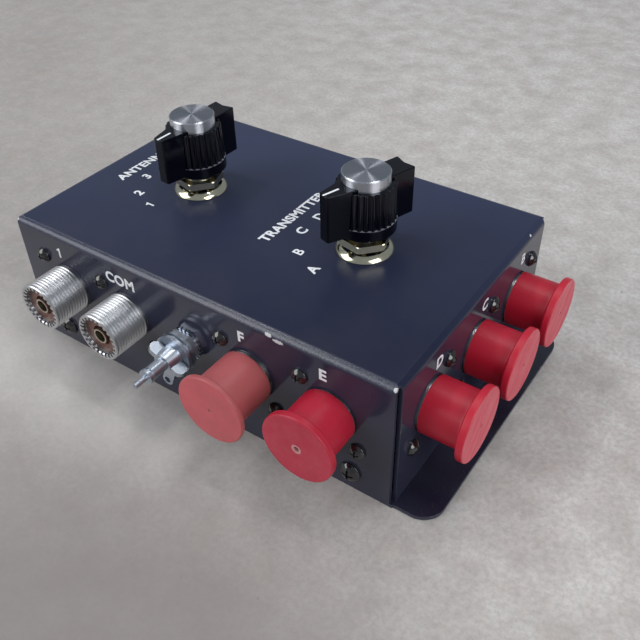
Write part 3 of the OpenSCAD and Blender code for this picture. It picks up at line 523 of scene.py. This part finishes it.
CAP_FADED = vinyl("vinyl_faded", (0.38, 0.085, 0.090), (0.60, 0.10, 0.12), (0.66, 0.32, 0.28), "Y", 0.12)
WHITE = print_white()


# ---------------------------------------------------------------- materials on the CAD nodes

def dress(material, *names):
    for name in names:
        for slot in NODES[name].material_slots:
            slot.material = material


SOCKET_INSIDES = ("socket_screws", "socket_nuts", "socket_insulators", "socket_contacts")

dress(CASE, "top_cover")
dress(TRAY, "bottom_cover")
dress(BLACK, "case_screws", "socket_screws", "set_screw_left", "set_screw_right")
dress(NICKEL, *(n for n in NODES if n.startswith("socket_") and n not in SOCKET_INSIDES))
dress(PHENOLIC, "socket_insulators")
dress(CONTACT, "socket_contacts", "fixed_contacts", "wiper_left", "wiper_right")
dress(STEEL, *(n for n in NODES if n.startswith(("ground_", "wing_nut_"))))
dress(STEEL, "socket_nuts", "shaft_left", "shaft_right", "detent_balls", "detent_springs",
      "deck_spacers", "deck_screws")
dress(GOLD, "bushings", "lock_washers", "panel_nuts")
dress(BRASS, "knob_insert_left", "knob_insert_right")
dress(COPPER, "bus_wires")
dress(BOARD, "stator_discs")
dress(IVORY, "rotor_left", "rotor_right")
dress(KNOB, "knob_left", "knob_right")
dress(CAP_FRONT, "cap_e")
dress(CAP_SIDE, "cap_d", "cap_c", "cap_b")
dress(CAP_FADED, "cap_f")
for side in SIDES:
    dress(spun("spun_" + side, DIAL_X[side]), "knob_disc_" + side)


# ---------------------------------------------------------------- lettering

PRINT_GAP = 0.02 * MM
PRINT_T = 0.01 * MM
# A capital's height as a share of its type size.
CAPITAL = 0.7
LETTER_SPACING = 1.06
BOLD = 0.05
# B and 6 have small counters, which close up in a bolder cut.
LESS_BOLD = {"B": 0.03, "6": 0.03}
MARK_H = 3.2 * MM
WORD_H = 3.3 * MM
SIDE_MARK_H = 3.5 * MM

# Outline of a figure 1 as high as 1, with its flag, which the plain typeface leaves off.
ONE = [(0.0, 0.0), (0.20, 0.0), (0.20, 1.0), (0.05, 1.0), (-0.03, 0.88), (-0.20, 0.80),
       (-0.20, 0.66), (0.0, 0.71)]

# Middles of the marks round the left and the right dial and of the words beside them, in mm.
LEFT_DIAL_MARKS = [(-38.6, -17.2), (-46.7, -13.7), (-52.0, -4.5),
                   (-52.0, 4.5), (-46.7, 13.7), (-38.6, 17.2)]
RIGHT_DIAL_MARKS = [(25.0, -17.0), (16.6, -12.2), (10.9, -2.7),
                    (10.9, 6.7), (16.6, 13.7), (25.0, 17.2)]
ANTENNA_AT = (-58.7, 1.0)
TRANSMITTER_AT = (4.0, 2.7)
# Middles of the marks on a long and on a short side of the case, along it and up, in mm.
LONG_SIDE_MARKS = [(-51.5, 38.5), (-25.0, 38.5), (21.0, 38.8), (47.8, 38.8)]
SHORT_SIDE_MARKS = [(-24.0, 38.5), (2.8, 39.0), (29.0, 39.3)]


def figure_one(name, height):
    bm = bmesh.new()
    prism(bm, [(x * height, y * height) for x, y in ONE], 0, PRINT_T)
    bmesh.ops.recalc_face_normals(bm, faces=bm.faces)
    return mesh_of(name, bm)


def typed(name, words, height):
    curve = bpy.data.curves.new(name, "FONT")
    curve.body = words
    curve.align_x = "CENTER"
    curve.align_y = "CENTER"
    curve.size = height / CAPITAL
    curve.offset = LESS_BOLD.get(words, BOLD) * height
    curve.space_character = LETTER_SPACING
    curve.extrude = PRINT_T
    text = placed(name, curve)
    bpy.context.view_layer.update()
    mesh = bpy.data.meshes.new_from_object(text)
    bpy.data.objects.remove(text)
    return mesh


def lettering(name, words, height, place, reading, out):
    """Printed words, centred on place, reading along one direction on a face that looks along another."""
    mesh = figure_one(name, height) if words == "1" else typed(name, words, height)
    piece = placed(name, mesh)
    xs = [v.co.x for v in mesh.vertices]
    ys = [v.co.y for v in mesh.vertices]
    centre = Vector(((min(xs) + max(xs)) / 2, (min(ys) + max(ys)) / 2, 0))
    turn = turned(reading, out.cross(reading), out)
    mesh.transform(Matrix.Translation(place) @ turn @ Matrix.Translation(-centre))
    mesh.materials.append(WHITE)
    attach(piece, "case")


def on_top(name, words, place, height=MARK_H):
    x, y = place
    lettering(name, words, height, Vector((x * MM, y * MM, CASE_TOP + PRINT_GAP)), Vector((0, 1, 0)), UP)


def on_side(side, words, places, reading, reach):
    """Marks in a row on one side of the case, whose face is reach from the middle."""
    reading = Vector(reading)
    out = reading.cross(UP)
    for word, (along, z) in zip(words, places):
        place = reading * along * MM + UP * z * MM + out * (reach + PRINT_GAP)
        lettering(f"{side}_{word.lower()}", word, SIDE_MARK_H, place, reading, out)


for marks, places in (("123456", LEFT_DIAL_MARKS), ("ABCDEF", RIGHT_DIAL_MARKS)):
    for mark, place in zip(marks, places):
        on_top("mark_" + mark.lower(), mark, place)
on_top("word_antenna", "ANTENNA", ANTENNA_AT, WORD_H)
on_top("word_transmitter", "TRANSMITTER", TRANSMITTER_AT, WORD_H)
on_side("front", ("1", "COM", "F", "E"), LONG_SIDE_MARKS, (1, 0, 0), CASE_HALF_W)
on_side("right", ("D", "C", "B"), SHORT_SIDE_MARKS, (0, 1, 0), CASE_HALF_L)
on_side("back", ("A", "COM", "6", "5"), LONG_SIDE_MARKS, (-1, 0, 0), CASE_HALF_W)
on_side("left", ("4", "3", "2"), SHORT_SIDE_MARKS, (0, -1, 0), CASE_HALF_L)


# ---------------------------------------------------------------- knobs

FLUTES = 28
FLUTE_DEPTH = 0.65 * MM
FLUTE_STEPS = 10
# How deep the flutes still are at the body's top, as a share.
FLUTE_TOP = 0.6
COLLAR_R = 9.2 * MM
COLLAR_CUT = 0.1 * MM
BODY_LOW_R = 9.09 * MM
BODY_HIGH_R = 8.6 * MM
BODY_H = 14.6 * MM
EDGE_R = 0.25 * MM
BAR_LOW = 0.8 * MM
BAR_HIGH = 15.5 * MM
BAR_HALF_W = 3.9 * MM
BAR_EDGE = 0.15 * MM
INSERT_R = 5.0 * MM
INSERT_FOOT = 1.0 * MM
DISC_R = 7.0 * MM
# The seat of the disc in the body's top.
SEAT_R = DISC_R + 0.05 * MM
SEAT_DEPTH = 0.3 * MM
NOSE = 15.0 * MM
TAIL = 14.8 * MM
SCREW_HOLE_R = 1.6 * MM
SCREW_HOLE_Z = 6.2 * MM
# The set screw's hole starts outside the tail and ends in the insert's bore.
SCREW_HOLE_START = -TAIL - 1 * MM
SCREW_HOLE_END = -INSERT_R + 0.2 * MM
# Half outline of the bar seen from above, from the nose to the notch in the tail.
BAR = [(NOSE, 1.4 * MM), (NOSE - 0.3 * MM, 1.9 * MM), (5.5 * MM, BAR_HALF_W),
       (0.3 * MM - TAIL, BAR_HALF_W), (-TAIL, 3.6 * MM), (0.8 * MM - TAIL, 0.0)]
# The white line on the nose.
LINE_SIZE = (5.4 * MM, 0.62 * MM, 0.16 * MM)
LINE_AT = 12.3 * MM
LINE_EDGE = 0.03 * MM


def fluted(bm, radius, z, scallop=0.0):
    """A ring of vertices, hollowed between the crests of the flutes."""
    count = FLUTES * FLUTE_STEPS
    made = []
    for i in range(count):
        across = 2 * (i % FLUTE_STEPS) / FLUTE_STEPS - 1
        r = radius - scallop * (1 - across * across) ** 3
        turn = 2 * math.pi * i / count
        made.append(bm.verts.new((r * math.cos(turn), r * math.sin(turn), z)))
    return made


def knob_round(name):
    """The fluted body on its collar, closed inside above the insert's foot."""
    bm = bmesh.new()
    rings = [fluted(bm, INSERT_R, INSERT_FOOT),
             fluted(bm, INSERT_R, 0.0),
             fluted(bm, COLLAR_R - EDGE_R, 0.0),
             fluted(bm, COLLAR_R, EDGE_R),
             fluted(bm, COLLAR_R, COLLAR_H - COLLAR_CUT),
             fluted(bm, COLLAR_R - COLLAR_CUT, COLLAR_H),
             fluted(bm, BODY_LOW_R, COLLAR_H, FLUTE_DEPTH),
             fluted(bm, BODY_HIGH_R, BODY_H - EDGE_R, FLUTE_DEPTH),
             fluted(bm, BODY_HIGH_R - EDGE_R, BODY_H, FLUTE_DEPTH * FLUTE_TOP),
             fluted(bm, SEAT_R, BODY_H),
             fluted(bm, SEAT_R, BODY_H - SEAT_DEPTH)]
    join_rings(bm, rings)
    bm.faces.new(rings[0])
    bm.faces.new(rings[-1])
    return solid_of(name, bm, KNOB)


def knob_bar(name):
    """The bar across the knob, from the pointer's nose to its notched tail."""
    bm = bmesh.new()
    prism(bm, BAR + [(x, -y) for x, y in reversed(BAR[:-1])], BAR_LOW, BAR_HIGH)
    bmesh.ops.bevel(bm, geom=bm.edges[:], offset=BAR_EDGE, segments=2, affect="EDGES")
    return solid_of(name, bm, KNOB)


def pointer_line(name):
    """The white line let into the top of the pointer's nose."""
    bm = bmesh.new()
    bmesh.ops.create_cube(bm, size=1.0)
    bmesh.ops.scale(bm, vec=LINE_SIZE, verts=bm.verts)
    bmesh.ops.bevel(bm, geom=bm.edges[:], offset=LINE_EDGE, segments=1, affect="EDGES")
    bmesh.ops.translate(bm, vec=(LINE_AT, 0, BAR_HIGH), verts=bm.verts)
    return solid_of(name, bm, WHITE)


def bore(piece, radius, z, start, end):
    """Cuts a round hole along X."""
    bm = bmesh.new()
    bmesh.ops.create_cone(bm, cap_ends=True, segments=40, radius1=radius, radius2=radius,
                          depth=end - start)
    bmesh.ops.rotate(bm, cent=(0, 0, 0), matrix=Matrix.Rotation(math.pi / 2, 3, "Y"), verts=bm.verts)
    bmesh.ops.translate(bm, vec=((start + end) / 2, 0, z), verts=bm.verts)
    cutter = solid_of("cutter", bm, KNOB)
    cut = piece.modifiers.new("bore", "BOOLEAN")
    cut.operation = "DIFFERENCE"
    cut.object = cutter
    bpy.context.view_layer.update()
    deps = bpy.context.evaluated_depsgraph_get()
    mesh = bpy.data.meshes.new_from_object(piece.evaluated_get(deps))
    piece.modifiers.clear()
    piece.data = mesh
    bpy.data.objects.remove(cutter)


def knob(side):
    """A knob in its place, with the set screw's hole bored through its tail side."""
    body = knob_round("knob_round_" + side)
    bar = knob_bar("knob_bar_" + side)
    for piece in (body, bar):
        bore(piece, SCREW_HOLE_R, SCREW_HOLE_Z, SCREW_HOLE_START, SCREW_HOLE_END)
    line = pointer_line("pointer_line_" + side)
    turn = Matrix.Rotation(math.radians(POINTERS[side]), 4, "Z")
    for piece in (body, bar, line):
        piece.data.transform(Matrix.Translation((DIAL_X[side], 0, KNOB_FOOT)) @ turn)
        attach(piece, side + "_dial")
    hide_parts("knob_" + side)


for side in SIDES:
    knob(side)


# ---------------------------------------------------------------- panel nuts and lock washers

TURN_STEPS = 72
BUSHING_R = 4.8 * MM
NUT_R = 7.8 * MM
# The nut's corners are cut down to this radius at both ends, over this height.
NUT_CORNER_R = 7.55 * MM
NUT_CUT = 0.2 * MM
NUT_TURN = math.radians(-72)
# The nut's ends, as heights above the case's top.
NUT_LOW = 2.9 * MM
NUT_HIGH = 5.1 * MM
# The lock washer's dished ring from its outer foot, as radius and height above the top in mm.
DISH = [(8.30, 0.02), (8.65, 0.05), (8.78, 0.35), (8.62, 0.80), (8.00, 1.50), (7.20, 2.05),
        (6.95, 1.75), (7.70, 1.10)]
TEETH = 10
# The first tooth's angle from +X, in radians.
FIRST_TOOTH = 0.2
TOOTH_HALF = math.radians(5.5)
# Side outline of a tooth, as radius and height above the top in mm.
TOOTH = [(4.9, 2.4), (4.9, 2.88), (7.3, 2.02), (7.3, 1.55)]


def on_dial(bm, x, radius, turn, height):
    """A vertex about a dial's axis, by its radius, angle and height above the top."""
    return bm.verts.new((x + radius * math.cos(turn), radius * math.sin(turn), CASE_TOP + height))


def loop(bm, x, radius, height):
    """A ring of vertices about a dial's axis; radius is a function of the angle."""
    turns = [NUT_TURN + 2 * math.pi * i / TURN_STEPS for i in range(TURN_STEPS)]
    return [on_dial(bm, x, radius(turn), turn, height) for turn in turns]


def bushing(turn):
    return BUSHING_R


def hexagon(turn):
    """Distance from the nut's axis to its outline."""
    return NUT_R * math.cos(math.pi / 6) / math.cos((turn - NUT_TURN) % (math.pi / 3) - math.pi / 6)


def cut_hexagon(turn):
    return min(hexagon(turn), NUT_CORNER_R)


def hex_nuts():
    bm = bmesh.new()
    for x in DIAL_X.values():
        first = loop(bm, x, bushing, NUT_LOW)
        join_rings(bm, [first,
                        loop(bm, x, cut_hexagon, NUT_LOW),
                        loop(bm, x, hexagon, NUT_LOW + NUT_CUT),
                        loop(bm, x, hexagon, NUT_HIGH - NUT_CUT),
                        loop(bm, x, cut_hexagon, NUT_HIGH),
                        loop(bm, x, bushing, NUT_HIGH),
                        first])
    return solid_of("hex_nuts", bm, GOLD)


def washer_tooth(bm, x, middle_turn):
    """A slanted tooth from the dish to near the bushing."""
    sides = [[on_dial(bm, x, radius * MM, middle_turn + turn, height * MM) for radius, height in TOOTH]
             for turn in (-TOOTH_HALF, TOOTH_HALF)]
    for face in sides:
        bm.faces.new(face)
    join_rings(bm, sides)


def dished_washers():
    bm = bmesh.new()
    for x in DIAL_X.values():
        rings = [loop(bm, x, lambda turn, r=radius: r * MM, height * MM) for radius, height in DISH]
        join_rings(bm, rings + rings[:1])
        for k in range(TEETH):
            washer_tooth(bm, x, 2 * math.pi * k / TEETH + FIRST_TOOTH)
    return solid_of("dished_washers", bm, GOLD)


for piece, node in ((hex_nuts(), "panel_nuts"), (dished_washers(), "lock_washers")):
    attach(piece, "case")
    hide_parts(node)


# ---------------------------------------------------------------- floor

FLOOR_HALF = 6.0
FLOOR_DROP = 0.05 * MM
# The direction in which the floor gets lighter: painted light, falling off towards the front-left.
LIGHTER_TOWARDS = (0.75, 0.66, 0)
# Ovals of painted shadow and of painted light on the concrete: centre and half sizes.
PAINTED_SHADOW_OVAL = ((0.035, -0.125, 0), (0.085, 0.06, 1))
PAINTED_LIGHT_OVAL = ((-0.045, -0.058, 0), (0.055, 0.018, 1))


def floor_paint():
    """Plain mottled concrete with fine pits, under painted light: lighter in one direction, with a painted
    shadow and a painted pool of light.
    """
    p = Paint("floor_paint")
    broad = p.noise(9, 4, 0.6)
    mottle = p.noise(70, 6, 0.65)
    warm = p.noise(150, 5, 0.65, offset=(2, 5, 0))
    fine = p.noise(620, 4, 0.7)
    pits = p.span(p.noise(260, 3, 0.55, offset=(7, 1, 0)), 0.71, 0.76)
    # Painted shadow on the floor in front of the case.
    painted_shadow = p.span(p.within([PAINTED_SHADOW_OVAL]), 0.3, 1.7, 0.85, 0.0, smooth=True)
    # Painted pool of light on the floor under the front sockets, lightening their shadow.
    painted_light = p.span(p.within([PAINTED_LIGHT_OVAL]), 0.2, 1.9, 0.32, 0.0, smooth=True)
    # Painted light falling off across the floor.
    base = p.mix(p.span(p.along(LIGHTER_TOWARDS), -0.12, 0.10), (0.350, 0.330, 0.316), (0.610, 0.595, 0.580))
    base = p.over(base,
                  (p.span(broad, 0.3, 0.7, 0.0, 0.3), (0.60, 0.59, 0.575)),
                  (p.span(mottle, 0.38, 0.66, 0.0, 0.60), (0.33, 0.298, 0.280)),
                  (p.span(warm, 0.46, 0.68, 0.0, 0.45), (0.50, 0.445, 0.420)),
                  (p.span(fine, 0.40, 0.64, 0.0, 0.42), (0.29, 0.270, 0.255)),
                  (p.times(pits, 0.5), (0.16, 0.150, 0.145)),
                  (painted_shadow, (0.205, 0.184, 0.176)),
                  (painted_light, (0.66, 0.645, 0.63)))
    p.set(Base_Color=base, Roughness=p.span(mottle, 0.3, 0.7, 0.5, 0.62),
          Normal=p.bump(p.plus(mottle, p.times(fine, 0.4)), 0.12 * MM, 0.25))
    return p.mat


def floor():
    bm = bmesh.new()
    bmesh.ops.create_grid(bm, x_segments=2, y_segments=2, size=FLOOR_HALF)
    bmesh.ops.translate(bm, vec=(0, 0, -FLOOR_DROP), verts=bm.verts)
    mesh = mesh_of("floor", bm)
    mesh.materials.append(floor_paint())
    placed("floor", mesh)


# ---------------------------------------------------------------- light and camera

SKY = (0.84, 0.92, 1.0, 1)
SKY_STRENGTH = 0.30
# The photograph's camera, fitted to the case's corners, the sockets and the dials.
CAMERA_AT = (0.13126, -0.16370, 0.17970)
CAMERA_AZIMUTH = 35.372
CAMERA_ELEVATION = 40.233
CAMERA_ROLL = -1.322
FOCAL_PX = 790.8
PHOTO_PX = 640
SENSOR = 36


def world():
    sky = bpy.data.worlds.new("world")
    sky.use_nodes = True
    background = sky.node_tree.nodes["Background"]
    background.inputs["Color"].default_value = SKY
    background.inputs["Strength"].default_value = SKY_STRENGTH
    bpy.context.scene.world = sky


def lamp(name, place, size, power, along=(0, 1, 0)):
    """An area lamp aimed at the origin, its second side laid along a direction."""
    data = bpy.data.lights.new(name, "AREA")
    data.shape = "RECTANGLE"
    data.size, data.size_y = size
    data.energy = power
    back = Vector(place).normalized()
    side = Vector(along).cross(back).normalized()
    placed(name, data).matrix_world = Matrix.Translation(place) @ turned(side, back.cross(side), back)


def camera():
    azimuth, elevation = math.radians(CAMERA_AZIMUTH), math.radians(CAMERA_ELEVATION)
    right = Vector((math.cos(azimuth), math.sin(azimuth), 0))
    back = right.cross(UP) * math.cos(elevation) + UP * math.sin(elevation)
    roll = Matrix.Rotation(math.radians(CAMERA_ROLL), 4, "Z")
    data = bpy.data.cameras.new("camera")
    data.sensor_width = SENSOR
    data.lens = FOCAL_PX / PHOTO_PX * SENSOR
    data.clip_start, data.clip_end = 0.01, 50
    made = placed("camera", data)
    made.matrix_world = Matrix.Translation(CAMERA_AT) @ turned(right, back.cross(right), back) @ roll
    bpy.context.scene.camera = made


floor()
world()
lamp("tube_right", (0.213, 0.253, 1.154), (0.05, 0.6), 2.4, along=(0.76, -0.65, 0))
lamp("tube_left", (-0.6, 0.03, 1.04), (0.05, 0.6), 1.6)
lamp("tube_back", (-0.45, 0.12, 1.2), (0.05, 1.7), 2.8, along=(1, 0, 0))
lamp("right_side", (1.1, -0.3, 0.65), (0.8, 0.8), 8.5)
lamp("front_side", (-0.9, -0.95, 0.7), (1.0, 1.0), 11.5)
camera()
bpy.context.scene.view_settings.view_transform = "Standard"
